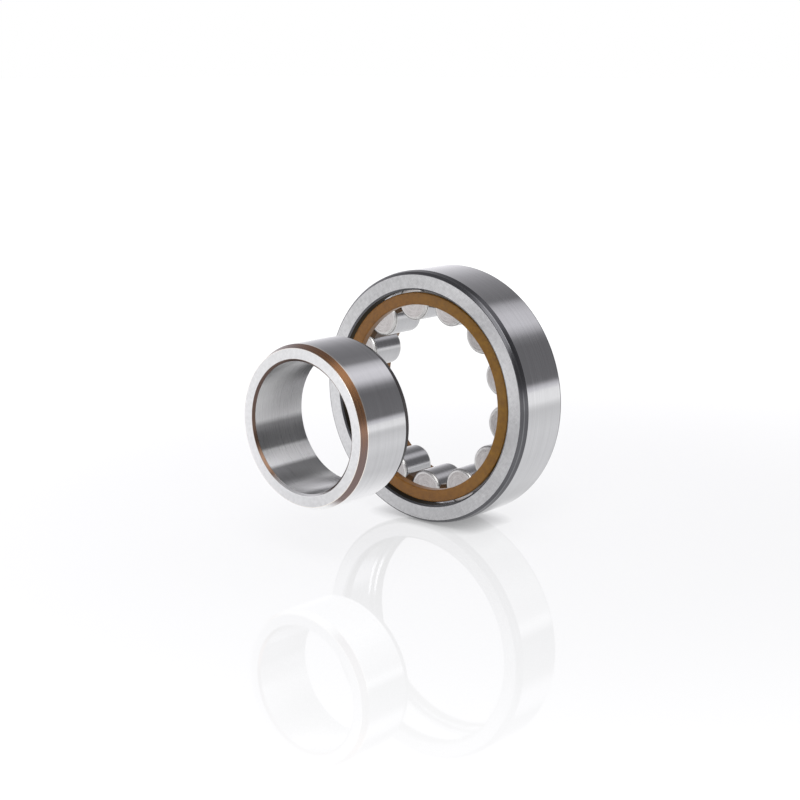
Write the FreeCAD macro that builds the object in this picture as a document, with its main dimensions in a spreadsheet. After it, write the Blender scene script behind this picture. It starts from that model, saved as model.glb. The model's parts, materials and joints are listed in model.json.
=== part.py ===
import FreeCAD, Part
import os

import Sketcher

# Separable cylindrical roller bearing of dimension series 02 with a 30 mm bore.
# The outer ring has a rib at each side and keeps the rollers and their cage.
# The plain inner ring has no ribs, and is drawn out of the rollers along the axis.
# Frame: the bearing's axis is Y, the front is towards -Y, +Z is up, and the origin
# is the centre of the outer ring. All sizes are in millimetres, angles in degrees.

DIMENSIONS = [
    ("ring_width", 16.0, "width of each ring"),
    ("bore_dia", 30.0, "bore of the inner ring"),
    ("inner_wall", 3.75, "wall of the inner ring under its raceway"),
    ("outer_wall", 3.22, "wall of the outer ring behind its raceway"),
    ("roller_dia", 9.0, "roller"),
    ("roller_length", 10.0, "roller"),
    ("roller_count", 13, "rollers, and pockets in the cage"),
    ("first_roller_angle", 19.0, "from +X towards +Z"),
    ("roller_corner", 0.6, "rounding of the roller's ends"),
    ("radial_clearance", 0.06, "internal clearance, on the diameter"),
    ("track_clearance", 0.1, "ribs to roller ends, both ends together"),
    ("rib_height", 1.4, "rib above the outer raceway"),
    ("rib_corner", 0.35, "chamfer of the rib bore"),
    ("relief_width", 0.6, "grinding relief beside each rib, along the raceway"),
    ("relief_depth", 0.25, "grinding relief, into the raceway"),
    ("outer_bevel_length", 1.9, "outer ring's front corner, along the axis"),
    ("outer_bevel_drop", 0.8, "outer ring's front corner, in radius"),
    ("outer_rear_corner", 1.1, "chamfer of the outer ring's rear corner"),
    ("inner_bevel_length", 1.8, "inner ring's lead-in, along the axis"),
    ("inner_bevel_drop", 0.8, "inner ring's lead-in, in radius"),
    ("bore_corner", 0.5, "chamfer of the bore"),
    ("bevel_rounding", 0.3, "rounding of the edges of the bevels"),
    ("withdrawal", 41.0, "inner ring's travel out of the rollers"),
    ("cage_recess", 0.9, "cage behind the faces of the outer ring"),
    ("cage_rib_gap", 0.65, "cage to rib bore, in radius"),
    ("cage_ring_height", 3.0, "radial height of the cage's side rings"),
    ("cage_lip", 0.85, "bars below the side rings, to hold the rollers in"),
    ("pocket_clearance", 0.25, "pocket over roller, on the diameter"),
    ("pocket_end_clearance", 0.2, "pocket over roller, along the axis"),
    ("cage_rounding", 0.35, "rounding of the cage's side rings"),
]

# Sizes that follow from the sheet, as expressions in the document.
BORE_RADIUS = "Dimensions.bore_dia / 2"
HALF_WIDTH = "Dimensions.ring_width / 2"
INNER_RACEWAY = f"{BORE_RADIUS} + Dimensions.inner_wall"
PITCH_RADIUS = f"{INNER_RACEWAY} + Dimensions.roller_dia / 2 + Dimensions.radial_clearance / 4"
OUTER_RACEWAY = f"{INNER_RACEWAY} + Dimensions.roller_dia + Dimensions.radial_clearance / 2"
OUTER_RADIUS = f"{OUTER_RACEWAY} + Dimensions.outer_wall"
RIB_BORE = f"{OUTER_RACEWAY} - Dimensions.rib_height"
HALF_TRACK = "(Dimensions.roller_length + Dimensions.track_clearance) / 2"
CAGE_OUTSIDE = f"{RIB_BORE} - Dimensions.cage_rib_gap"
CAGE_INSIDE = f"{CAGE_OUTSIDE} - Dimensions.cage_ring_height"
CAGE_HALF_WIDTH = f"{HALF_WIDTH} - Dimensions.cage_recess"
POCKET_LENGTH = "Dimensions.roller_length + Dimensions.pocket_end_clearance"


def make_sheet(doc):
    """Put the driving dimensions in a spreadsheet: name, value and what it is."""
    sheet = doc.addObject("Spreadsheet::Sheet", "Dimensions")
    for row, (name, value, meaning) in enumerate(DIMENSIONS, start=1):
        sheet.set(f"A{row}", name)
        sheet.set(f"B{row}", str(value))
        sheet.set(f"C{row}", meaning)
        sheet.setAlias(f"B{row}", name)
    doc.recompute()
    return sheet


def make_body(doc, label):
    """Add an empty body whose label is the name of its node."""
    body = doc.addObject("PartDesign::Body", label)
    body.Label = label
    return body


def origin_item(body, role):
    """Find one of the body's own origin planes or axes by its role."""
    return next(item for item in body.Origin.OriginFeatures if item.Role == role)


def make_sketch(body, name, plane_role):
    """Add a sketch on one of the body's origin planes."""
    sketch = body.newObject("Sketcher::SketchObject", name)
    sketch.AttachmentSupport = [(origin_item(body, plane_role), "")]
    sketch.MapMode = "FlatFace"
    return sketch


def bind_constraint(sketch, constraint, name, expression):
    """Add a named dimension to a sketch and bind it to the sheet."""
    index = sketch.addConstraint(constraint)
    sketch.renameConstraint(index, name)
    sketch.setExpression(f"Constraints.{name}", expression)


def mirror_corners(corners):
    """Complete a section: the corners of its +Y half, then the same in the -Y half."""
    other_half = [(radius, f"-({height})") for radius, height in reversed(corners)]
    return corners + other_half


def revolve_section(body, corners):
    """Revolve a closed section, given as (radius, height along Y) corners, about Y."""
    sketch = make_sketch(body, f"{body.Label}_section", "XY_Plane")
    points = [
        FreeCAD.Vector(sketch.evalExpression(radius), sketch.evalExpression(height), 0)
        for radius, height in corners
    ]
    count = len(points)
    for index, point in enumerate(points):
        sketch.addGeometry(Part.LineSegment(point, points[(index + 1) % count]))
    for index in range(count):
        sketch.addConstraint(Sketcher.Constraint("Coincident", index, 2, (index + 1) % count, 1))
    for index, (radius, height) in enumerate(corners):
        across = Sketcher.Constraint("DistanceX", -1, 1, index, 1, points[index].x)
        along = Sketcher.Constraint("DistanceY", -1, 1, index, 1, points[index].y)
        bind_constraint(sketch, across, f"radius_{index}", radius)
        bind_constraint(sketch, along, f"height_{index}", height)
    revolution = body.newObject("PartDesign::Revolution", f"{body.Label}_turned")
    revolution.Profile = sketch
    revolution.ReferenceAxis = (sketch, ["V_Axis"])
    revolution.Angle = 360
    sketch.Visibility = False
    body.Document.recompute()
    return revolution


def circle_edges(feature, places):
    """Name the feature's circular edges at the given (radius, height) expressions."""
    tolerance = 1e-4
    names = []
    for radius, height in places:
        radius_value = feature.evalExpression(radius)
        height_value = feature.evalExpression(height)
        for number, edge in enumerate(feature.Shape.Edges, start=1):
            if not isinstance(edge.Curve, Part.Circle):
                continue
            right_radius = abs(edge.Curve.Radius - radius_value) < tolerance
            right_height = abs(edge.Curve.Center.y - height_value) < tolerance
            if right_radius and right_height:
                names.append(f"Edge{number}")
    return names


def round_edges(body, base, places, radius_expression):
    """Round the base feature's circular edges at the given places."""
    fillet = body.newObject("PartDesign::Fillet", f"{body.Label}_rounding")
    fillet.Base = (base, circle_edges(base, places))
    fillet.setExpression("Radius", radius_expression)
    body.Document.recompute()
    return fillet


def make_outer_ring(doc):
    """Outer ring: bevelled corners, a rib at each side, and reliefs beside the track."""
    body = make_body(doc, "outer_ring")
    rear_edges = [
        (OUTER_RADIUS, f"{HALF_WIDTH} - Dimensions.outer_rear_corner"),
        (f"{OUTER_RADIUS} - Dimensions.outer_rear_corner", HALF_WIDTH),
    ]
    front_edges = [
        (f"{OUTER_RADIUS} - Dimensions.outer_bevel_drop", f"-{HALF_WIDTH}"),
        (OUTER_RADIUS, f"-{HALF_WIDTH} + Dimensions.outer_bevel_length"),
    ]
    track_end = f"{HALF_TRACK} - Dimensions.relief_width"
    relief_floor = f"{OUTER_RACEWAY} + Dimensions.relief_depth"
    inside = [
        (f"{RIB_BORE} + Dimensions.rib_corner", HALF_WIDTH),
        (RIB_BORE, f"{HALF_WIDTH} - Dimensions.rib_corner"),
        (RIB_BORE, HALF_TRACK),
        (relief_floor, HALF_TRACK),
        (relief_floor, track_end),
        (OUTER_RACEWAY, track_end),
    ]
    turned = revolve_section(body, rear_edges + mirror_corners(inside) + front_edges)
    round_edges(body, turned, rear_edges + front_edges, "Dimensions.bevel_rounding")
    return body


def make_inner_ring(doc):
    """Plain inner ring, with a long lead-in at each side of its raceway."""
    body = make_body(doc, "inner_ring")
    face_edge = (f"{INNER_RACEWAY} - Dimensions.inner_bevel_drop", HALF_WIDTH)
    raceway_edge = (INNER_RACEWAY, f"{HALF_WIDTH} - Dimensions.inner_bevel_length")
    section = [
        raceway_edge,
        face_edge,
        (f"{BORE_RADIUS} + Dimensions.bore_corner", HALF_WIDTH),
        (BORE_RADIUS, f"{HALF_WIDTH} - Dimensions.bore_corner"),
    ]
    turned = revolve_section(body, mirror_corners(section))
    edges = mirror_corners([raceway_edge, face_edge])
    round_edges(body, turned, edges, "Dimensions.bevel_rounding")
    body.setExpression("Placement.Base.y", "-Dimensions.withdrawal")
    return body


def roller_angle(index):
    """The angle of a roller and its pocket, counted from +X towards +Z."""
    return f"Dimensions.first_roller_angle + {index} * 360 / Dimensions.roller_count"


def make_cage(doc):
    """One-piece cage: two side rings and, between the rollers, bars with lips."""
    body = make_body(doc, "cage")
    lip_end = f"({POCKET_LENGTH}) / 2"
    lip_radius = f"{CAGE_INSIDE} - Dimensions.cage_lip"
    outer_edge = (CAGE_OUTSIDE, CAGE_HALF_WIDTH)
    inner_edge = (CAGE_INSIDE, CAGE_HALF_WIDTH)
    section = [
        outer_edge,
        inner_edge,
        (CAGE_INSIDE, lip_end),
        (lip_radius, f"{lip_end} - Dimensions.cage_lip"),
    ]
    turned = revolve_section(body, mirror_corners(section))
    edges = mirror_corners([outer_edge, inner_edge])
    round_edges(body, turned, edges, "Dimensions.cage_rounding")

    outline = make_sketch(body, "pocket_outline", "XZ_Plane")
    across = f"({PITCH_RADIUS}) * cos({roller_angle(0)})"
    up = f"({PITCH_RADIUS}) * sin({roller_angle(0)})"
    pocket_dia = "Dimensions.roller_dia + Dimensions.pocket_clearance"
    centre = FreeCAD.Vector(outline.evalExpression(across), outline.evalExpression(up), 0)
    start_radius = outline.evalExpression(pocket_dia) / 2
    outline.addGeometry(Part.Circle(centre, FreeCAD.Vector(0, 0, 1), start_radius))
    distance_x = Sketcher.Constraint("DistanceX", -1, 1, 0, 3, centre.x)
    distance_y = Sketcher.Constraint("DistanceY", -1, 1, 0, 3, centre.y)
    bind_constraint(outline, distance_x, "pocket_across", across)
    bind_constraint(outline, distance_y, "pocket_up", up)
    diameter = Sketcher.Constraint("Diameter", 0, 2 * start_radius)
    bind_constraint(outline, diameter, "pocket_dia", pocket_dia)

    volume_before = body.Shape.Volume
    pocket = body.newObject("PartDesign::Pocket", "roller_pocket")
    pocket.Profile = outline
    pocket.SideType = "Symmetric"
    pocket.setExpression("Length", POCKET_LENGTH)
    doc.recompute()
    if not body.Shape.Volume < volume_before:
        raise RuntimeError("the roller pocket cuts nothing")

    pockets = body.newObject("PartDesign::PolarPattern", "roller_pockets")
    pockets.Originals = [pocket]
    pockets.Axis = (origin_item(body, "Y_Axis"), [""])
    pockets.Angle = 360
    pockets.setExpression("Occurrences", "Dimensions.roller_count")
    body.Tip = pockets
    outline.Visibility = False
    return body


def make_roller(doc, index):
    """One cylindrical roller with rounded ends, in its place on the pitch circle."""
    body = make_body(doc, f"roller_{index + 1:02d}")
    outline = make_sketch(body, f"{body.Label}_outline", "XZ_Plane")
    start_radius = outline.evalExpression("Dimensions.roller_dia") / 2
    outline.addGeometry(Part.Circle(FreeCAD.Vector(), FreeCAD.Vector(0, 0, 1), start_radius))
    outline.addConstraint(Sketcher.Constraint("Coincident", 0, 3, -1, 1))
    diameter = Sketcher.Constraint("Diameter", 0, 2 * start_radius)
    bind_constraint(outline, diameter, "roller_dia", "Dimensions.roller_dia")
    pad = body.newObject("PartDesign::Pad", f"{body.Label}_cylinder")
    pad.Profile = outline
    pad.SideType = "Symmetric"
    pad.setExpression("Length", "Dimensions.roller_length")
    outline.Visibility = False
    doc.recompute()
    roller_end = ("Dimensions.roller_dia / 2", "Dimensions.roller_length / 2")
    round_edges(body, pad, mirror_corners([roller_end]), "Dimensions.roller_corner")
    body.setExpression("Placement.Base.x", f"({PITCH_RADIUS}) * cos({roller_angle(index)})")
    body.setExpression("Placement.Base.z", f"({PITCH_RADIUS}) * sin({roller_angle(index)})")
    return body


def check_document(doc, bodies):
    """Stop if any object failed to recompute or any sub-part isn't a sound solid."""
    for item in doc.Objects:
        if "Invalid" in item.State or "Error" in item.State:
            raise RuntimeError(f"{item.Label} did not recompute: {item.State}")
    for body in bodies:
        shape = body.Shape
        if shape.isNull() or not shape.isValid() or len(shape.Solids) != 1:
            raise RuntimeError(f"{body.Label} is not one valid solid")


def main():
    """Build the bearing and write one STEP file for each of its pieces."""
    doc = FreeCAD.newDocument("RollerBearing")
    sheet = make_sheet(doc)
    bodies = [make_outer_ring(doc), make_inner_ring(doc), make_cage(doc)]
    for index in range(int(sheet.roller_count)):
        bodies.append(make_roller(doc, index))
    doc.recompute()
    check_document(doc, bodies)
    os.makedirs("parts", exist_ok=True)
    for body in bodies:
        body.Shape.exportStep(f"parts/{body.Label}.step")
        print(f"{body.Label}: {body.Shape.Volume:.1f} mm3")


main()
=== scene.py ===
import json
import math

import bmesh
import bpy
import numpy as np
from mathutils import Matrix, Vector

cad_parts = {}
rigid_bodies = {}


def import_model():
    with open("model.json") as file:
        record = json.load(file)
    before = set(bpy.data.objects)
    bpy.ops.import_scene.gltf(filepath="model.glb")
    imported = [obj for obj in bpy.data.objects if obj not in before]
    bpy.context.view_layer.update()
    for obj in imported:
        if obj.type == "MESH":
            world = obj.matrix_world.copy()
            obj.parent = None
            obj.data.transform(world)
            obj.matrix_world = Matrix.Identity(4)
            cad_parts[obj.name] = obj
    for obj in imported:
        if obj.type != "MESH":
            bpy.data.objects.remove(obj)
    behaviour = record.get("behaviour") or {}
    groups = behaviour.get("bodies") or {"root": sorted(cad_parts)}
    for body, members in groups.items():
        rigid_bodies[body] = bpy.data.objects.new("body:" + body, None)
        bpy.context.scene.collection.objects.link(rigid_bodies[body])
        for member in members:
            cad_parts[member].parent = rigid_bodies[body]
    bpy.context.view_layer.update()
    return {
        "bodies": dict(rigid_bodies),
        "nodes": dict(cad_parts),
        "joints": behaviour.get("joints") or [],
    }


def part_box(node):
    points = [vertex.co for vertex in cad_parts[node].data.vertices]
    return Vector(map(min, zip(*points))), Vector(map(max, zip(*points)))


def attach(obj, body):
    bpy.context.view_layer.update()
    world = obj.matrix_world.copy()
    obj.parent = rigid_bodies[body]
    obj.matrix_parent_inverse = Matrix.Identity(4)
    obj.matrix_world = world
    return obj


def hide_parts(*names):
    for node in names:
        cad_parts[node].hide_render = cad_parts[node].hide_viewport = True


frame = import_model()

# A separable cylindrical roller bearing: the outer ring stands with its rollers and cage in it,
# and the inner ring is drawn out to the front along the shared axis, which is Y.
scene = bpy.context.scene
scene.view_settings.view_transform = "Standard"
mm = 0.001


class Wire:
    # Wraps one socket of a node tree. Arithmetic on it adds Math nodes.
    def __init__(self, tree, socket=None):
        self.tree = tree
        self.socket = socket

    # Adds a node: its settings first, then the values or wires of its sockets.
    def node(self, kind, settings=None, inputs=None, output=0):
        made = self.tree.nodes.new(kind)
        for name, value in (settings or {}).items():
            if name == "stops":
                self.setStops(made.color_ramp, value)
            else:
                setattr(made, name, value)
        for name, value in (inputs or {}).items():
            if isinstance(value, Wire):
                self.tree.links.new(value.socket, made.inputs[name])
            else:
                made.inputs[name].default_value = value
        return Wire(self.tree, made.outputs[output])

    def setStops(self, ramp, stops):
        while len(ramp.elements) < len(stops):
            ramp.elements.new(1.0)
        for element, (place, colour) in zip(ramp.elements, stops):
            element.position = place
            element.color = colour

    def maths(self, operation, first, second=0.0):
        return self.node("ShaderNodeMath", {"operation": operation}, {0: first, 1: second})

    def __add__(self, other):
        return self.maths("ADD", self, other)

    def __radd__(self, other):
        return self.maths("ADD", other, self)

    def __sub__(self, other):
        return self.maths("SUBTRACT", self, other)

    def __rsub__(self, other):
        return self.maths("SUBTRACT", other, self)

    def __mul__(self, other):
        return self.maths("MULTIPLY", self, other)

    def __rmul__(self, other):
        return self.maths("MULTIPLY", other, self)

    def __truediv__(self, other):
        return self.maths("DIVIDE", self, other)

    def __pow__(self, other):
        return self.maths("POWER", self, other)

    # Rises smoothly from 0 at low to 1 at high.
    def rise(self, low, high):
        return self.node(
            "ShaderNodeMapRange",
            {"interpolation_type": "SMOOTHSTEP"},
            {"Value": self, "From Min": low, "From Max": high},
        )

    # Blends two colours by this value.
    def blend(self, first, second):
        colours = {"data_type": "RGBA", "blend_type": "MIX"}
        return self.node("ShaderNodeMix", colours, {0: self, 6: first, 7: second}, output=2)


def spanOf(node, centre=(0.0, 0.0)):
    # Least and greatest distance from the line along Y through (x, z), and least and greatest y.
    vertices = frame["nodes"][node].data.vertices
    points = np.empty(len(vertices) * 3)
    vertices.foreach_get("co", points)
    points = points.reshape(-1, 3)
    radius = np.hypot(points[:, 0] - centre[0], points[:, 2] - centre[1])
    return radius.min(), radius.max(), points[:, 1].min(), points[:, 1].max()


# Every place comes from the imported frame.
rollerBodies = sorted(name for name in frame["bodies"] if name.startswith("roller_"))
jointPlace = {joint["child"]: joint.get("pos_m") for joint in frame["joints"]}
rollerCentres = [(jointPlace[name][0], jointPlace[name][2]) for name in rollerBodies]
pitchRadius = math.hypot(*rollerCentres[0])
firstAngle = math.atan2(rollerCentres[0][1], rollerCentres[0][0])
rollerRadius = spanOf(rollerBodies[0], rollerCentres[0])[1]
rollerEnds = spanOf(rollerBodies[0])[2:]
print("frame read:", len(rollerBodies), "rollers, pitch radius", round(pitchRadius / mm, 3), "mm")


def roundedOutline(corners, guard=0.03 * mm, steps=6):
    # Follows a closed outline and turns each corner into an arc of its own radius.
    # The arc's centre stands rounding / sin(half the corner) from the corner, on its bisector, and
    # from there the arc is (sin((1 - share) turn) first + sin(share turn) last) / sin turn.
    # Each corner is (radius, height, rounding, zone of the arc, zone of the stretch after it).
    places = np.array([corner[:2] for corner in corners])
    outline, zones = [], []
    for index, (_, _, rounding, arcZone, nextZone) in enumerate(corners):
        corner = places[index]
        back = places[index - 1] - corner
        ahead = places[(index + 1) % len(corners)] - corner
        back, ahead = back / np.hypot(*back), ahead / np.hypot(*ahead)
        half = 0.5 * math.acos(np.clip(back @ ahead, -1, 1))
        reach = rounding / math.tan(half)
        bisector = (back + ahead) / np.hypot(*(back + ahead))
        centre = corner + bisector * rounding / math.sin(half)
        first, last = corner + back * reach - centre, corner + ahead * reach - centre
        turn = math.pi - 2 * half
        share = np.linspace(0, 1, steps + 1)[:, None]
        weighed = np.sin((1 - share) * turn) * first + np.sin(share * turn) * last
        arc = centre + weighed / math.sin(turn)
        outline += [corner + back * (reach + guard), *arc, corner + ahead * (reach + guard)]
        zones += [arcZone] * (steps + 2) + [nextZone]
    return np.array(outline), np.array(zones)


def wovenFaces(rows, columns, wrapRows, wrapColumns):
    # One face between each four neighbours of a grid of vertices, row by row.
    grid = np.arange(rows * columns).reshape(rows, columns)
    if wrapRows:
        grid = np.vstack([grid, grid[:1]])
    if wrapColumns:
        grid = np.hstack([grid, grid[:, :1]])
    corners = (grid[:-1, :-1], grid[:-1, 1:], grid[1:, 1:], grid[1:, :-1])
    return np.stack([corner.ravel() for corner in corners], axis=1)


def makePiece(name, points, faces, materials, zones=None):
    # A mesh object with its place in its vertices. Zones give each face's material.
    mesh = bpy.data.meshes.new(name)
    mesh.from_pydata(points.reshape(-1, 3).tolist(), [], faces)
    for material in materials:
        mesh.materials.append(material)
    if zones is not None:
        mesh.polygons.foreach_set("material_index", zones.astype(np.int32))
    mesh.shade_smooth()
    mesh.update()
    piece = bpy.data.objects.new(name, mesh)
    scene.collection.objects.link(piece)
    return piece


def joinSeams(piece, reach=0.001 * mm):
    # Joins vertices that lie on one another, and turns every face outwards.
    form = bmesh.new()
    form.from_mesh(piece.data)
    bmesh.ops.remove_doubles(form, verts=form.verts, dist=reach)
    bmesh.ops.recalc_face_normals(form, faces=form.faces)
    form.to_mesh(piece.data)
    form.free()


def turnRing(name, corners, materials, around=288):
    # x = radius cos t, y = height, z = radius sin t, for one turn of t at each outline point.
    outline, zones = roundedOutline(corners)
    turn = np.linspace(0, 2 * math.pi, around, endpoint=False)
    points = np.empty((around, len(outline), 3))
    points[..., 0] = np.outer(np.cos(turn), outline[:, 0])
    points[..., 1] = outline[:, 1]
    points[..., 2] = np.outer(np.sin(turn), outline[:, 0])
    faces = wovenFaces(around, len(outline), True, True)
    return makePiece(name, points, faces.tolist(), materials, np.tile(zones, around))


def newMaterial(name):
    material = bpy.data.materials.new(name)
    material.use_nodes = True
    tree = material.node_tree
    shader = tree.nodes["Principled BSDF"]
    return material, Wire(tree), shader


def grey(value):
    return (value, value, value, 1.0)


def plug(wire, shader, name):
    wire.tree.links.new(wire.socket, shader.inputs[name])


def axisPlaces(start, centre=(0.0, 0.0)):
    # Object coordinates in millimetres about a line along Y, and the distance from that line.
    coordinates = start.node("ShaderNodeTexCoord", output=3)
    place = start.node(
        "ShaderNodeMapping",
        {},
        {
            "Vector": coordinates,
            "Location": (-centre[0] / mm, 0.0, -centre[1] / mm),
            "Scale": (1 / mm, 1 / mm, 1 / mm),
        },
    )
    parts = place.node("ShaderNodeSeparateXYZ", {}, {0: place})
    x, y, z = (Wire(start.tree, socket) for socket in parts.socket.node.outputs)
    radius = (x * x + z * z) ** 0.5
    return x, y, z, radius


def noiseAt(start, x, y, z, scale=1.0, detail=2.0, roughness=0.5):
    vector = start.node("ShaderNodeCombineXYZ", {}, {0: x, 1: y, 2: z})
    inputs = {"Vector": vector, "Scale": scale, "Detail": detail, "Roughness": roughness}
    return start.node("ShaderNodeTexNoise", {}, inputs)


def groundSteel(name, look, centre=(0.0, 0.0)):
    # Marks run round the axis ("around"), in rings on a flat end ("rings"), or cross each other on a
    # lapped face ("crossed"). Painted light rides on the tone: a painted sheen in fans, tone + fan *
    # cos(lobes * (angle - fanAngle)), or painted reflections in bands given by angle, and tone blends
    # from dark to light.
    material, start, shader = newMaterial(name)
    x, y, z, radius = axisPlaces(start, centre)
    slow = look["lineBreaks"]
    if look["runs"] == "crossed":
        one = noiseAt(start, (x + z) * look["fineLines"], y, (x - z) * slow)
        other = noiseAt(start, (x - z) * look["fineLines"], y, (x + z) * slow)
        fine = (one + other) * 0.5
        broad = noiseAt(start, x * look["broadLines"], y, z * look["broadLines"], detail=4.0)
    else:
        across = y if look["runs"] == "around" else radius
        broad = noiseAt(start, x * slow, across * look["broadLines"], z * slow, detail=3.0)
        often = slow * 2  # fine lines end twice as often as broad ones
        fine = noiseAt(start, x * often, across * look["fineLines"], z * often, detail=2.0)
    mark = (broad - 0.5) * look["broadMark"] + (fine - 0.5) * look["fineMark"]
    angle = start.maths("ARCTAN2", z, x)
    # Painted reflections: light and dark bands by the angle round the axis.
    if "bands" in look:
        stops = [(place / 360, grey(value)) for place, value in look["bands"]]
        turns = angle / (2 * math.pi)
        share = turns - turns.maths("FLOOR", turns)
        tone = mark + start.node("ShaderNodeValToRGB", {"stops": stops}, {0: share})
    else:
        cloud = noiseAt(start, x, y, z, scale=look["cloudScale"], detail=3.0)
        # Painted sheen: the tone rises and falls with the angle round the axis.
        fan = start.maths("COSINE", (angle - math.radians(look["fanAngle"])) * look["lobes"])
        tone = look["tone"] + mark + (cloud - 0.5) * look["cloudMark"] + fan * look["fan"]
    colour = tone.blend(look["dark"], look["light"])
    # Painted reflection: the colour turns pale towards the lowest point, which faces the bright floor.
    if "paleBelow" in look:
        below = start.maths("SINE", angle) * -1
        colour = below.rise(*look["paleBelow"]).blend(colour, grey(look["paleTone"]))
    plug(colour, shader, "Base Color")
    plug(look["roughness"] + (fine - 0.5) * look["roughnessChange"], shader, "Roughness")
    shader.inputs["Metallic"].default_value = look["metallic"]
    shader.inputs["Specular Tint"].default_value = grey(look["grazing"])
    fineHeight, broadHeight = look["heights"]
    height = fine * fineHeight + broad * broadHeight
    inputs = {"Strength": look["bump"], "Distance": look["lineDepth"], "Height": height}
    plug(start.node("ShaderNodeBump", {}, inputs), shader, "Normal")
    return material


groundLook = {
    "runs": "around",
    "lineBreaks": 0.03,     # how often a line ends, per millimetre of its length
    "broadLines": 2.2,      # lines per millimetre
    "fineLines": 14.0,
    "broadMark": 0.5,       # how much the lines change the tone
    "fineMark": 0.9,
    "cloudScale": 0.08,
    "cloudMark": 0.3,
    "tone": 0.5,
    # Painted sheen, off here: tone + fan * cos(lobes * (angle - fanAngle)) round the axis.
    "fan": 0.0,
    "lobes": 2,
    "fanAngle": 20.0,       # degrees from +X towards +Z
    "dark": (0.51, 0.51, 0.52, 1.0),
    "light": (0.71, 0.71, 0.725, 1.0),
    "roughness": 0.11,
    "roughnessChange": 0.14,
    "metallic": 1.0,
    "grazing": 1.0,         # how much is mirrored at a flat angle
    "bump": 0.25,
    "lineDepth": 0.004 * mm,
    "heights": (0.6, 0.4),  # shares of fine and broad lines in the relief
}

# The other finishes start from it. Bands are painted reflections, given as pairs of degrees, from +X
# towards +Z, and tone.
faceLook = dict(
    groundLook,
    runs="crossed",
    lineBreaks=0.5,
    broadLines=0.9,
    fineLines=3.6,
    broadMark=0.75,
    fineMark=1.5,
    # Painted sheen: the face's tone rises and falls twice round the axis.
    fan=0.3,
    roughness=0.34,
    roughnessChange=0.2,
    dark=(0.4, 0.4, 0.405, 1.0),
    light=(0.72, 0.72, 0.73, 1.0),
    bump=0.5,
    lineDepth=0.01 * mm,
)
# A lighter copy of the face finish for the inner ring: painted light, with a painted sheen by fan.
innerFaceLook = dict(faceLook, fan=0.15, dark=(0.6, 0.6, 0.605, 1.0), light=(0.86, 0.86, 0.87, 1.0))
turnedLook = dict(
    groundLook,
    broadLines=1.6,
    fineLines=7.0,
    dark=(0.06, 0.06, 0.066, 1.0),
    light=(0.17, 0.17, 0.18, 1.0),
    roughness=0.24,
    metallic=0.95,
    bump=0.4,
    lineDepth=0.01 * mm,
)
rearLook = dict(turnedLook, grazing=0.4, dark=(0.05, 0.045, 0.045, 1.0), light=(0.13, 0.12, 0.12, 1.0))
# The brown lead-in bevel of the inner ring, with a painted highlight, orange towards fanAngle, and a
# painted reflection, pale at the lowest point.
tintAndGlintLook = dict(
    turnedLook,
    tone=0.18,
    fan=0.5,
    fanAngle=44.0,
    paleBelow=(0.78, 0.95),  # painted reflection: the tint fades to pale at the lowest point, by the sine of the angle
    paleTone=0.92,
    dark=(0.2, 0.145, 0.135, 1.0),
    light=(0.5, 0.235, 0.085, 1.0),
    roughness=0.26,
)
# Darker brown for the bore chamfer, keeping a weaker painted highlight towards fanAngle and the painted
# reflection at the lowest point.
chamferLook = dict(tintAndGlintLook, fan=0.2, dark=(0.11, 0.075, 0.065, 1.0), light=(0.3, 0.17, 0.09, 1.0))
# Painted shade: a near-black copy of the turned finish for the rib's bore, which lies in the narrow,
# shaded gap beside the cage.
ribLook = dict(
    turnedLook,
    dark=(0.02, 0.016, 0.012, 1.0),
    light=(0.07, 0.06, 0.045, 1.0),
    roughness=0.35,
    grazing=0.4,
)
# Painted highlight: a lighter, glossier copy of the turned finish on the bevel's crown, so the crown
# shows a bright glint line.
crownLook = dict(turnedLook, dark=(0.16, 0.16, 0.17, 1.0), light=(0.3, 0.3, 0.31, 1.0), roughness=0.1)
# Polished, and a painted highlight: a near-white copy for the inner ring's front edges, so they show a
# pale glint line.
brightLook = dict(turnedLook, dark=(0.8, 0.76, 0.7, 1.0), light=(0.95, 0.9, 0.84, 1.0), roughness=0.12)
# Painted reflections: the bore's tone follows light and dark bands by angle, from near black to white.
boreLook = dict(
    groundLook,
    roughness=0.29,
    broadMark=0.06,
    fineMark=0.12,
    bands=[
        (108, 0.65), (116, 0.4), (130, 0.26), (138, 0.3), (150, 0.55), (164, 0.72), (183, 0.8),
        (188, 0.25), (194, 0.22), (208, 0.26), (211, 1.0), (225, 1.0), (229, 0.22), (244, 0.38),
        (248, 0.65), (252, 1.0), (268, 1.0), (278, 0.14), (300, 0.5),
    ],
    dark=(0.1, 0.1, 0.105, 1.0),
    light=(1.0, 1.0, 1.0, 1.0),
)
# Painted reflections: light and dark bands by angle on the outer ring's outside, darkest towards the
# lower right.
outerGroundLook = dict(
    groundLook,
    broadMark=0.26,
    fineMark=0.46,
    bands=[
        (0, 0.5), (80, 0.5), (98, 0.3), (120, 0.35), (180, 0.5), (295, 0.45), (303, 0.3), (310, 0.05),
        (316, 0.08), (325, 0.3), (340, 0.3), (352, 0.5),
    ],
    dark=(0.4, 0.4, 0.41, 1.0),
    light=(0.82, 0.82, 0.835, 1.0),
)
# Painted reflections: light and dark bands by angle on the inner ring's outside.
innerGroundLook = dict(
    groundLook,
    broadMark=0.16,
    fineMark=0.3,
    bands=[
        (0, 0.58), (10, 0.45), (16, 0.6), (36, 0.5), (45, 0.75), (54, 0.8), (61, 0.42), (72, 0.2),
        (90, 0.1), (104, 0.0), (140, 0.2), (180, 0.5), (270, 0.95), (308, 0.92), (324, 0.55),
        (335, 0.36), (346, 0.42), (354, 0.58),
    ],
    dark=(0.3, 0.3, 0.31, 1.0),
    light=(0.9, 0.9, 0.915, 1.0),
)


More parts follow.
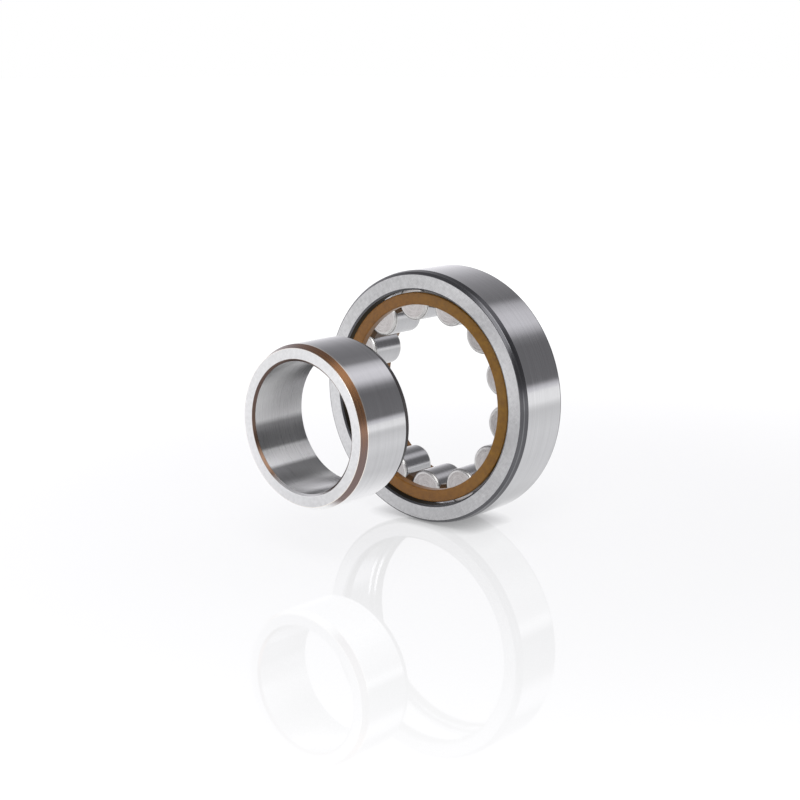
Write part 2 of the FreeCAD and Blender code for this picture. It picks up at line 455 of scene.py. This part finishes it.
outerRing = {
    "bevelLength": 1.9 * mm,
    "bevelDrop": 0.8 * mm,
    "bevelCrown": (0.62, 0.68),   # where the bevel's two slopes meet, as shares of its length and drop
    "rearCorner": 1.1 * mm,
    "ribHeight": 1.4 * mm,
    "ribCorner": 0.35 * mm,
    "reliefWidth": 0.6 * mm,
    "reliefDepth": 0.25 * mm,
    "trackClearance": 0.05 * mm,  # between a roller's end and a rib
    "edge": 0.12 * mm,            # the smallest rounding; the others are a few times as large
}


def outerRingCorners(shape):
    # Round the section: face, bevel, outside, rear corner, rear face, rib, track with its reliefs, rib.
    face, ground, bevel, track, crown, rib = 0, 1, 2, 3, 4, 5
    ribBore, outside, front, rear = spanOf("outer_ring")
    raceway = ribBore + shape["ribHeight"]
    relief = raceway + shape["reliefDepth"]
    edge, ribCorner = shape["edge"], shape["ribCorner"]
    trackFront = rollerEnds[0] - shape["trackClearance"]
    trackRear = rollerEnds[1] + shape["trackClearance"]
    crownLength = shape["bevelLength"] * (1 - shape["bevelCrown"][0])
    crownDrop = shape["bevelDrop"] * (1 - shape["bevelCrown"][1])
    return [
        (outside - shape["bevelDrop"], front, 2 * edge, bevel, bevel),
        (outside - crownDrop, front + crownLength, 3 * edge, crown, bevel),
        (outside, front + shape["bevelLength"], 5 * edge, bevel, ground),
        (outside, rear - shape["rearCorner"], 5 * edge, bevel, bevel),
        (outside - shape["rearCorner"], rear, 4 * edge, bevel, face),
        (ribBore + ribCorner, rear, edge, bevel, bevel),
        (ribBore, rear - ribCorner, edge, bevel, rib),
        (ribBore, trackRear, edge, rib, track),
        (relief, trackRear, edge, bevel, bevel),
        (relief, trackRear - shape["reliefWidth"], edge, bevel, bevel),
        (raceway, trackRear - shape["reliefWidth"], edge, bevel, track),
        (raceway, trackFront + shape["reliefWidth"], edge, bevel, bevel),
        (relief, trackFront + shape["reliefWidth"], edge, bevel, bevel),
        (relief, trackFront, edge, bevel, track),
        (ribBore, trackFront, edge, rib, rib),
        (ribBore, front + ribCorner, edge, bevel, bevel),
        (ribBore + ribCorner, front, edge, bevel, face),
    ]


# Painted light in these finishes: sheen on the faces, reflection bands on the outsides and the bore,
# highlights on the tinted bevel, the chamfer, the crown and the front edges, and shade on the rib's
# bore.
ringFace = groundSteel("ring_face_ground_and_sheen", faceLook)
innerFace = groundSteel("inner_face_ground_and_sheen", innerFaceLook)
ringGround = groundSteel("ring_outside_ground_and_reflections", outerGroundLook)
ringBevel = groundSteel("ring_bevel_turned", turnedLook)
ringBore = groundSteel("ring_bore_ground_and_reflections", boreLook)
ringTrack = groundSteel("ring_track_ground", groundLook)
ringTintAndGlint = groundSteel("ring_bevel_tint_and_glint", tintAndGlintLook)
ringCrown = groundSteel("ring_bevel_crown", crownLook)
ringBright = groundSteel("ring_edge_polish_and_glint", brightLook)
ringChamfer = groundSteel("ring_bore_chamfer", chamferLook)
ringRib = groundSteel("ring_rib_painted_shade", ribLook)
innerRear = groundSteel("inner_rear_bevel_turned", rearLook)
innerGround = groundSteel("inner_outside_ground_and_reflections", innerGroundLook)

outerFinishes = [ringFace, ringGround, ringBevel, ringTrack, ringCrown, ringRib]
outer = turnRing("outer_ring_ground", outerRingCorners(outerRing), outerFinishes)
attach(outer, "outer_ring")
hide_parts("outer_ring")
print("outer ring:", len(outer.data.polygons), "faces")


innerRing = {
    "leadLength": 1.8 * mm,
    "leadDrop": 0.8 * mm,
    "boreCorner": 0.5 * mm,
    "edge": 0.1 * mm,
}


def innerRingCorners(shape):
    # Round the section: face, lead-in, raceway, lead-in, rear face, bore corner, bore, bore corner.
    face, ground, bevel, bore, tinted, bright, chamfer, dusky = 0, 1, 2, 3, 4, 5, 6, 7
    boreRadius, raceway, front, rear = spanOf("inner_ring")
    length, drop = shape["leadLength"], shape["leadDrop"]
    corner, edge = shape["boreCorner"], shape["edge"]
    return [
        (raceway - drop, front, edge, bright, tinted),
        (raceway, front + length, 4 * edge, bright, ground),
        (raceway, rear - length, 4 * edge, dusky, dusky),
        (raceway - drop, rear, edge, dusky, face),
        (boreRadius + corner, rear, edge, bevel, bevel),
        (boreRadius, rear - corner, edge, bevel, bore),
        (boreRadius, front + corner, edge, chamfer, chamfer),
        (boreRadius + corner, front, edge, chamfer, face),
    ]


innerFinishes = [innerFace, innerGround, ringBevel, ringBore]
innerFinishes += [ringTintAndGlint, ringBright, ringChamfer, innerRear]
inner = turnRing("inner_ring_ground", innerRingCorners(innerRing), innerFinishes)
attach(inner, "inner_ring")
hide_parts("inner_ring")
print("inner ring:", len(inner.data.polygons), "faces")


roller = {
    "corner": 0.75 * mm,
    "guard": 0.03 * mm,        # a narrow ring beside each rounding keeps the flats flat
    "flatRings": (0.35, 0.7),  # rings of vertices on an end, as shares of its flat radius
    "around": 96,
    "steps": 8,
    "side": dict(
        groundLook,
        broadLines=1.2,
        fineLines=10.0,
        roughness=0.21,
        dark=(0.39, 0.39, 0.4, 1.0),
        light=(0.6, 0.6, 0.61, 1.0),
    ),
    # Painted highlight: a lighter copy of the end finish on the rounded corners, so each end shows a
    # bright rim.
    "rounding": dict(
        faceLook,
        runs="rings",
        fan=0.0,
        roughness=0.3,
        dark=(0.46, 0.45, 0.44, 1.0),
        light=(0.74, 0.73, 0.72, 1.0),
    ),
    "end": dict(
        faceLook,
        runs="rings",
        lineBreaks=0.4,
        broadLines=1.6,
        fineLines=6.0,
        fan=0.0,
        roughness=0.3,
        dark=(0.36, 0.34, 0.335, 1.0),
        light=(0.6, 0.575, 0.57, 1.0),
    ),
}


def turnRoller(name, centre, shape, materials):
    # A cylinder along Y with quarter-circle corners: the outline runs from pole to pole,
    # and x = centre + radius cos t, z = centre + radius sin t.
    end, side, rounding = 0, 1, 2
    front, rear = rollerEnds
    corner = shape["corner"]
    arc = np.linspace(0, math.pi / 2, shape["steps"] + 1)
    inset = rollerRadius - corner
    guard = shape["guard"]
    flat = np.r_[np.array(shape["flatRings"]) * inset, inset - guard]
    radius = np.concatenate([flat, inset + corner * np.sin(arc)])
    height = np.concatenate([np.full(len(flat), front), front + corner * (1 - np.cos(arc))])
    middle = np.array([front + corner + guard, 0.5 * (front + rear), rear - corner - guard])
    radius = np.concatenate([radius, np.full(len(middle), rollerRadius), radius[::-1]])
    height = np.concatenate([height, middle, front + rear - height[::-1]])
    around, rings = shape["around"], len(radius)
    turn = np.linspace(0, 2 * math.pi, around, endpoint=False)
    points = np.empty((around, rings, 3))
    points[..., 0] = centre[0] + np.outer(np.cos(turn), radius)
    points[..., 1] = height
    points[..., 2] = centre[1] + np.outer(np.sin(turn), radius)
    poles = np.array([[centre[0], front, centre[1]], [centre[0], rear, centre[1]]])
    sides = wovenFaces(around, rings, True, False)
    first = np.arange(around) * rings
    following = np.roll(first, -1)
    count = around * rings
    frontFan = np.stack([np.full(around, count), first, following], axis=1)
    rearFan = np.stack([np.full(around, count + 1), following + rings - 1, first + rings - 1], axis=1)
    points = np.vstack([points.reshape(-1, 3), poles])
    faces = sides.tolist() + frontFan.tolist() + rearFan.tolist()
    ring = np.arange(rings - 1)
    arcRings = len(flat) + shape["steps"]
    rowZones = np.where((ring < len(flat) - 1) | (ring >= rings - len(flat)), end, rounding)
    rowZones[(ring >= arcRings) & (ring < rings - 1 - arcRings)] = side
    zones = np.concatenate([np.tile(rowZones, around), np.full(2 * around, end)])
    return makePiece(name, points, faces, materials, zones)


for body, centre in zip(rollerBodies, rollerCentres):
    endFinish = groundSteel(body + "_end_ground", roller["end"], centre)
    sideFinish = groundSteel(body + "_side_ground", roller["side"], centre)
    # The roundings carry a painted highlight.
    roundingFinish = groundSteel(body + "_rounding_polished", roller["rounding"], centre)
    made = turnRoller(body + "_ground", centre, roller, [endFinish, sideFinish, roundingFinish])
    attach(made, body)
    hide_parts(body)
    made.visible_glossy = False
print("rollers:", len(rollerBodies), "of", len(made.data.polygons), "faces")


cage = {
    "pocketClearance": 0.125 * mm,
    "pocketEndClearance": 0.1 * mm,
    "ringHeight": 3.0 * mm,
    "rounding": 0.35 * mm,
    "cornerSteps": 6,
    "windowColumns": 8,             # faces across a pocket
    "barColumns": 3,                # from a pocket to the middle of the bar
    "wallRows": 8,                  # over the pocket's curved wall
    "barRows": 10,
    "sharpAngle": 35.0,             # edges that turn by more degrees than this stay crisp
    "barShade": 0.75,               # how far the bars are blended towards the painted shade colour, against the side rings
    "barsWithin": (4.8, 5.4),       # where bars turn into side rings, in millimetres from the middle
    # painted shade: near black, for the bars between the rollers
    "barShadeColour": (0.012, 0.006, 0.002, 1.0),
    "dark": (0.115, 0.046, 0.008, 1.0),
    "light": (0.28, 0.12, 0.016, 1.0),
    # painted light: the cage turns golden on the side the light falls on, towards goldenAngle
    "golden": (0.25, 0.135, 0.006, 1.0),
    "goldenAngle": 20.0,            # degrees from +X towards +Z
    "goldenRise": (-0.2, 1.0),      # from none to all, by the cosine of the angle from there
    "goldenShare": 0.7,
    "mottleScale": 0.55,            # features per millimetre
    "grainScale": 9.0,
    "fibreLines": (1.5, 7.0),       # per millimetre, across the axis and along it
    "toneMarks": (0.9, 0.5, 0.35),  # how much mottle, fibres and grain change the tone
    "roughness": 0.33,
    "roughMarks": (0.2, 0.12),      # how much mottle and grain change it
    "ior": 1.4,
    "bump": 0.35,
    "grainDepth": 0.02 * mm,
    "heights": (0.7, 0.3),          # shares of grain and fibres in the relief
}


def cageFinish(look):
    # Moulded polymer with short reinforcing fibres: a mottled brown, with streaks round the rings,
    # painted light on one side and painted shade on the bars between the rollers.
    material, start, shader = newMaterial("cage_moulding_amber")
    x, y, z = axisPlaces(start)[:3]
    mottle = noiseAt(start, x, y, z, scale=look["mottleScale"], detail=4.0, roughness=0.6)
    along, across = look["fibreLines"]
    fibres = noiseAt(start, x * along, y * across, z * along, detail=3.0)
    grain = noiseAt(start, x, y, z, scale=look["grainScale"], detail=2.0)
    mottleTone, fibreTone, grainTone = look["toneMarks"]
    tone = 0.5 + (mottle - 0.5) * mottleTone + (fibres - 0.5) * fibreTone + (grain - 0.5) * grainTone
    # Painted shade: the bars between the rollers, not the side rings.
    bars = 1 - start.maths("ABSOLUTE", y).rise(*look["barsWithin"])
    # Painted light: golden towards goldenAngle, on the lit side.
    turned = start.maths("ARCTAN2", z, x) - math.radians(look["goldenAngle"])
    golden = start.maths("COSINE", turned).rise(*look["goldenRise"]) * look["goldenShare"]
    amber = tone.blend(look["dark"], look["light"])
    colour = golden.blend(amber, tone.blend(look["dark"], look["golden"]))
    plug((bars * look["barShade"]).blend(colour, look["barShadeColour"]), shader, "Base Color")
    mottleRough, grainRough = look["roughMarks"]
    rough = look["roughness"] + (mottle - 0.5) * mottleRough + (grain - 0.5) * grainRough
    plug(rough, shader, "Roughness")
    shader.inputs["IOR"].default_value = look["ior"]
    grainHeight, fibreHeight = look["heights"]
    height = grain * grainHeight + fibres * fibreHeight
    inputs = {"Strength": look["bump"], "Distance": look["grainDepth"], "Height": height}
    plug(start.node("ShaderNodeBump", {}, inputs), shader, "Normal")
    return material


def cageSurface(shape, material):
    # Two side rings and bars between the pockets, as one closed surface.
    # At radius r a pocket reaches half of its width at the angle whose cosine is
    # (r^2 + pitch^2 - pocket^2) / (2 r pitch), and each column keeps its share of that angle.
    lipRadius, outside, front, rear = spanOf("cage")
    inside = outside - shape["ringHeight"]
    pocketRadius = rollerRadius + shape["pocketClearance"]
    pocketFront = rollerEnds[0] - shape["pocketEndClearance"]
    pocketRear = rollerEnds[1] + shape["pocketEndClearance"]
    count = len(rollerBodies)
    halfPitch = math.pi / count

    def edgeAngle(radius):
        cosine = (radius**2 + pitchRadius**2 - pocketRadius**2) / (2 * radius * pitchRadius)
        return np.arccos(np.clip(cosine, -1, 1))

    window = np.linspace(-1, 1, shape["windowColumns"] + 1)
    bar = np.linspace(0, 2, 2 * shape["barColumns"] + 1)[1:-1]
    perSector = len(window) + len(bar)
    columns = perSector * count
    sector = np.repeat(np.arange(count), perSector)
    inWindow = np.tile(np.r_[np.ones(len(window), bool), np.zeros(len(bar), bool)], count)
    share = np.tile(np.r_[window, bar], count)

    def at(radius, height):
        # The ring of vertices at one radius and height, with the columns' angles for that radius.
        reach = edgeAngle(radius)
        angle = np.where(inWindow, share * reach, reach + share * (halfPitch - reach))
        angle = angle + firstAngle + sector * 2 * halfPitch
        places = [radius * np.cos(angle), np.full(columns, height), radius * np.sin(angle)]
        return np.stack(places, axis=1)

    # Heights along the bars, closer together over the lips' tapered ends.
    taper = inside - lipRadius
    barHeights = np.r_[
        pocketFront,
        pocketFront + taper,
        np.linspace(pocketFront + taper, pocketRear - taper, shape["barRows"] - 1)[1:-1],
        pocketRear - taper,
        pocketRear,
    ]
    innerRadii = np.where((barHeights <= pocketFront) | (barHeights >= pocketRear), inside, lipRadius)
    rings, names = [], {}

    def addRings(label, radii, heights):
        names[label] = np.arange(len(rings), len(rings) + len(radii))
        rings.extend(at(radius, height) for radius, height in zip(radii, heights))

    # Round a side ring from its inside to its outside, with quarter circles at the two corners:
    # radius = inside + rounding (1 - cos sweep), then outside - rounding (1 - sin sweep), and
    # depth = rounding (1 - sin sweep), then rounding (1 - cos sweep).
    sweep = np.linspace(0, math.pi / 2, shape["cornerSteps"])
    slowRise = shape["rounding"] * (1 - np.cos(sweep))
    quickFall = shape["rounding"] * (1 - np.sin(sweep))
    sideRadii = np.r_[inside, inside + slowRise, outside - quickFall, outside]
    sideDepths = np.r_[quickFall, slowRise]
    addRings("frontSide", sideRadii, np.r_[pocketFront, front + sideDepths, pocketFront])
    addRings("rearSide", sideRadii[::-1], np.r_[pocketRear, rear - sideDepths[::-1], pocketRear])
    across = np.linspace(inside, outside, shape["wallRows"] + 1)[1:-1]
    addRings("frontWall", across, np.full(len(across), pocketFront))
    addRings("rearWall", across, np.full(len(across), pocketRear))
    addRings("barOutside", [outside] * (len(barHeights) - 2), barHeights[1:-1])
    addRings("barInside", innerRadii[1:-1], barHeights[1:-1])
    points = np.concatenate(rings)
    here = np.arange(columns)
    after = np.roll(here, -1)
    overWindow = inWindow & np.roll(inWindow, -1) & (np.roll(sector, -1) == sector)
    everywhere = np.ones(columns, bool)
    faces = []

    def strips(order, where):
        # Faces between successive rings of vertices, over the columns where they exist.
        order = np.asarray(order)
        low, high = order[:-1, None] * columns, order[1:, None] * columns
        left, right = here[where], after[where]
        quads = np.stack([low + left, low + right, high + right, high + left], axis=-1)
        faces.extend(quads.reshape(-1, 4).tolist())

    fronts, rears = names["frontSide"], names["rearSide"]
    strips(fronts, everywhere)
    strips(rears, everywhere)
    strips(np.r_[fronts[-1], names["frontWall"][::-1], fronts[0]], overWindow)
    strips(np.r_[rears[-1], names["rearWall"], rears[0]], overWindow)
    outsideRings = np.r_[fronts[-1], names["barOutside"], rears[0]]
    insideRings = np.r_[fronts[0], names["barInside"], rears[-1]]
    strips(outsideRings, ~overWindow)
    strips(insideRings[::-1], ~overWindow)

    # The pockets' curved walls: at each height the wall runs from the bar's inside to its outside.
    between = np.linspace(0, 1, shape["wallRows"] + 1)[1:-1]
    wallFaces, wallPoints = [], []
    wallStart = len(points)
    radius = innerRadii[:, None] + (outside - innerRadii[:, None]) * between
    height = np.broadcast_to(barHeights[:, None], radius.shape)
    for side in (-1, 1):
        column = 0 if side < 0 else len(window) - 1
        for pocket in range(count):
            grid = np.empty((len(barHeights), shape["wallRows"] + 1), int)
            grid[:, 0] = insideRings * columns + pocket * perSector + column
            grid[:, -1] = outsideRings * columns + pocket * perSector + column
            grid[:, 1:-1] = wallStart + np.arange(radius.size).reshape(radius.shape)
            angle = side * edgeAngle(radius) + firstAngle + pocket * 2 * halfPitch
            wall = np.stack([radius * np.cos(angle), height, radius * np.sin(angle)], axis=-1)
            wallPoints.append(wall.reshape(-1, 3))
            wallStart += radius.size
            quads = np.stack([grid[:-1, :-1], grid[1:, :-1], grid[1:, 1:], grid[:-1, 1:]], axis=-1)
            quads = quads.reshape(-1, 4)
            wallFaces.append(quads if side > 0 else quads[:, ::-1])
    points = np.concatenate([points, *wallPoints])
    faces.extend(np.concatenate(wallFaces).tolist())
    piece = makePiece("cage_moulding", points, faces, [material])
    joinSeams(piece)
    piece.data.set_sharp_from_angle(angle=math.radians(shape["sharpAngle"]))
    return piece


cagePiece = cageSurface(cage, cageFinish(cage))
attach(cagePiece, "cage")
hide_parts("cage")
cagePiece.visible_glossy = False
print("cage:", len(cagePiece.data.polygons), "faces")


studio = {
    "floorHeight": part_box("outer_ring")[0].z,
    "floorSize": 30.0,
    "floorColour": 0.2,
    "floorGlow": 0.835,                # the light table's own brightness near the bearing
    "floorTint": (0.99, 0.992, 1.0),
    "floorGloss": 0.03,                # roughness of the clear top
    "floorIor": 1.45,
    "flattestMirror": 0.33,            # the most that the floor mirrors, at a flat angle
    "glowFrom": 60.0,                  # millimetres from the middle to where the floor turns white
    "glowTo": 260.0,
    "fadeFrom": 170.0,                 # and where its gloss starts to fade
    "fadeTo": 330.0,
    "contactReach": 4.5 * mm,          # how far up the floor looks for what shades it
    "contactShade": 0.65,              # how much darker it is right where it is touched
    "backdrop": 1.0,                   # what stands behind the floor
    # Brightness of the surroundings by the angle round the bearing's axis, from +X over the top.
    "strips": [
        (0, 0.95), (3, 0.8), (7, 0.2), (43, 0.19), (50, 0.27), (57, 0.62), (63, 0.84), (76, 0.8),
        (86, 0.6), (93, 0.22), (106, 0.27), (120, 0.34), (135, 0.48), (150, 0.7), (165, 0.92),
        (180, 1.1),
    ],
    "stripTint": (0.99, 0.977, 1.02),  # a trace of violet
    "key": 2.6,                        # brightness of the key lamp in front, between two such angles
    "keyFrom": 36,
    "keyTo": 82,
    "keyEdge": 6,                      # degrees over which it comes up and goes down
    "keyDepth": (-0.3, -0.08),         # it ends towards the rear, by the direction's y
    "lampHeight": 2.0,                 # metres
    "lampSize": (3.0, 3.0),
    "lampPower": 19.0,
    "lens": 67.97,                     # millimetres
    "turn": 40.98,                     # degrees, from looking along the axis
    "tilt": 12.34,                     # degrees below level
    "distance": 11.7805,               # in outer radii, to the front of the outer ring
    "across": 0.1554,                  # how far right of the view's middle that is, in outer radii
    "above": 0.0105,                   # and how far above it
    "clip": (0.01, 60.0),              # metres
}


def studioWorld(settings):
    # Long lamps and grey flags lie along the bearing's axis, so brightness follows the angle round Y.
    world = bpy.data.worlds.new("studio")
    scene.world = world
    world.use_nodes = True
    tree = world.node_tree
    start = Wire(tree)
    direction = start.node("ShaderNodeTexCoord", output=0)
    parts = start.node("ShaderNodeSeparateXYZ", {}, {0: direction})
    x, y, z = (Wire(tree, socket) for socket in parts.socket.node.outputs)
    angle = start.maths("ARCTAN2", z, x) * (180 / math.pi)
    tint = np.array([*settings["stripTint"], 1.0])
    stops = [(place / 180, tuple((tint * value).tolist())) for place, value in settings["strips"]]
    strips = start.node("ShaderNodeValToRGB", {"stops": stops}, {0: angle / 180})
    low, high, edge = settings["keyFrom"], settings["keyTo"], settings["keyEdge"]
    key = angle.rise(low, low + edge) * (1 - angle.rise(high - edge, high))
    key = key * (1 - y.rise(*settings["keyDepth"]))
    around = key.blend(strips, grey(settings["key"]))
    seen = start.node("ShaderNodeLightPath", output=0)
    background = tree.nodes["Background"]
    tree.links.new(seen.blend(around, grey(settings["backdrop"])).socket, background.inputs["Color"])
    background.inputs["Strength"].default_value = 1.0


def paleFloor(settings):
    size = settings["floorSize"] / 2
    corners = np.array([[-size, -size, 0], [size, -size, 0], [size, size, 0], [-size, size, 0]])
    corners[:, 2] = settings["floorHeight"]
    # Lit from below like a light table, under a clear gloss that mirrors more at a flat angle.
    material, start, shader = newMaterial("floor_white")
    shader.inputs["Base Color"].default_value = grey(settings["floorColour"])
    shader.inputs["Specular IOR Level"].default_value = 0.0
    shader.inputs["Roughness"].default_value = 1.0
    x, y = axisPlaces(start)[:2]
    away = (x * x + y * y) ** 0.5
    near = np.array(settings["floorTint"]) * settings["floorGlow"]
    shaded = near * (1 - settings["contactShade"])
    reach = {"Distance": settings["contactReach"]}
    clear = start.node("ShaderNodeAmbientOcclusion", {"samples": 4}, reach, output=1)
    lit = clear.blend((*shaded.tolist(), 1.0), (*near.tolist(), 1.0))
    glow = away.rise(settings["glowFrom"], settings["glowTo"])
    plug(glow.blend(lit, grey(1.0)), shader, "Emission Color")
    shader.inputs["Emission Strength"].default_value = 1.0
    clearTop = {"Color": grey(1.0), "Roughness": settings["floorGloss"]}
    gloss = start.node("ShaderNodeBsdfGlossy", {}, clearTop)
    mirrored = start.node("ShaderNodeFresnel", {}, {"IOR": settings["floorIor"]})
    share = mirrored.maths("MINIMUM", mirrored, settings["flattestMirror"])
    share = share * (1 - away.rise(settings["fadeFrom"], settings["fadeTo"]))
    under = Wire(start.tree, shader.outputs[0])
    both = start.node("ShaderNodeMixShader", {}, {0: share, 1: under, 2: gloss})
    start.tree.links.new(both.socket, start.tree.nodes["Material Output"].inputs["Surface"])
    floor = makePiece("floor", corners, [[0, 1, 2, 3]], [material])


def lampAbove(settings):
    # A wide soft lamp straight above the bearing. An area lamp shines down its own -Z.
    lamp = bpy.data.lights.new("lamp_above", "AREA")
    lamp.shape = "RECTANGLE"
    lamp.size, lamp.size_y = settings["lampSize"]
    lamp.energy = settings["lampPower"]
    made = bpy.data.objects.new("lamp_above", lamp)
    made.location = (0.0, 0.0, settings["lampHeight"])
    made.visible_glossy = False
    scene.collection.objects.link(made)


def studioCamera(settings):
    # Looks at the middle of the outer ring's front face, turned and tilted from the axis.
    outside, front = spanOf("outer_ring")[1:3]
    turn, tilt = math.radians(settings["turn"]), math.radians(settings["tilt"])
    ahead = Vector((-math.sin(turn) * math.cos(tilt), math.cos(turn) * math.cos(tilt), -math.sin(tilt)))
    right = Vector((math.cos(turn), math.sin(turn), 0.0))
    up = right.cross(ahead)
    data = bpy.data.cameras.new("camera")
    data.lens = settings["lens"]
    data.clip_start, data.clip_end = settings["clip"]
    camera = bpy.data.objects.new("camera", data)
    steps = right * settings["across"] + up * settings["above"] + ahead * settings["distance"]
    camera.location = Vector((0.0, front, 0.0)) - steps * outside
    camera.rotation_euler = Matrix((right, up, -ahead)).transposed().to_euler()
    scene.collection.objects.link(camera)
    scene.camera = camera


studioWorld(studio)
paleFloor(studio)
lampAbove(studio)
studioCamera(studio)
print("studio ready")
